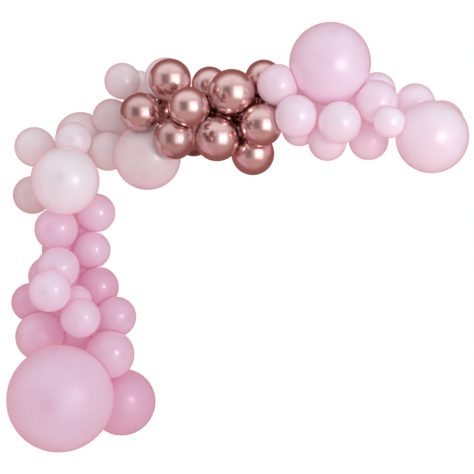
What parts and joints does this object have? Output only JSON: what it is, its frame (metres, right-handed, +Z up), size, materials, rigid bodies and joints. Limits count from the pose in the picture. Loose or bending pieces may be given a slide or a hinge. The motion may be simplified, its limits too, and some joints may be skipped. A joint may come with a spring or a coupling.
{
  "type": "balloon garland",
  "caption": "L-shaped wall garland of round latex and chrome balloons tied along a flat clear strip, hung by the back of the strip.",
  "frame": {"origin": "on the back face of the strip, in the middle of its corner bend, where the main hook goes", "axes": "+X along the arm, +Z up, +Y into the wall, which is the plane y = 0"},
  "size_m": [2.6244, 0.7908, 2.3771],
  "materials": {
    "pink_latex": "smooth semi-gloss inflated latex in baby pink",
    "blush_latex": "smooth semi-gloss inflated latex in pale blush",
    "pale_pink_latex": "smooth semi-gloss inflated latex in pale pink",
    "rose_gold_chrome": "metallic chrome-effect latex in rose gold",
    "clear_strip": "thin clear plastic decorating strip with a row of tying holes"
  },
  "bodies": {
    "root": {"arm_balloon_1": "pale_pink_latex", "arm_balloon_10": "pale_pink_latex", "arm_balloon_11": "pale_pink_latex", "arm_balloon_12": "pale_pink_latex", "arm_balloon_13": "pale_pink_latex", "arm_balloon_2": "pale_pink_latex", "arm_balloon_3": "pale_pink_latex", "arm_balloon_4": "pale_pink_latex", "arm_balloon_5": "pale_pink_latex", "arm_balloon_6": "pale_pink_latex", "arm_balloon_7": "pale_pink_latex", "arm_balloon_8": "pale_pink_latex", "arm_balloon_9": "pale_pink_latex", "arm_end_large_balloon": "pale_pink_latex", "arm_top_large_balloon": "pink_latex", "chrome_balloon_1": "rose_gold_chrome", "chrome_balloon_10": "rose_gold_chrome", "chrome_balloon_11": "rose_gold_chrome", "chrome_balloon_12": "rose_gold_chrome", "chrome_balloon_13": "rose_gold_chrome", "chrome_balloon_2": "rose_gold_chrome", "chrome_balloon_3": "rose_gold_chrome", "chrome_balloon_4": "rose_gold_chrome", "chrome_balloon_5": "rose_gold_chrome", "chrome_balloon_6": "rose_gold_chrome", "chrome_balloon_7": "rose_gold_chrome", "chrome_balloon_8": "rose_gold_chrome", "chrome_balloon_9": "rose_gold_chrome", "column_balloon_1": "pink_latex", "column_balloon_10": "pink_latex", "column_balloon_11": "pink_latex", "column_balloon_12": "pink_latex", "column_balloon_13": "pink_latex", "column_balloon_14": "pink_latex", "column_balloon_15": "pink_latex", "column_balloon_16": "pink_latex", "column_balloon_17": "pink_latex", "column_balloon_18": "pink_latex", "column_balloon_2": "pink_latex", "column_balloon_3": "pink_latex", "column_balloon_4": "pink_latex", "column_balloon_5": "pink_latex", "column_balloon_6": "pink_latex", "column_balloon_7": "pink_latex", "column_balloon_8": "pink_latex", "column_balloon_9": "pink_latex", "corner_balloon_1": "blush_latex", "corner_balloon_2": "blush_latex", "corner_balloon_3": "blush_latex", "corner_balloon_4": "blush_latex", "corner_balloon_5": "blush_latex", "corner_balloon_6": "blush_latex", "corner_balloon_7": "blush_latex", "corner_balloon_8": "blush_latex", "corner_balloon_9": "blush_latex", "corner_inner_large_balloon": "blush_latex", "corner_outer_large_balloon": "blush_latex", "foot_giant_balloon": "pink_latex", "foot_large_balloon": "pink_latex", "garland_strip": "clear_strip"}
  },
  "joints": []
}
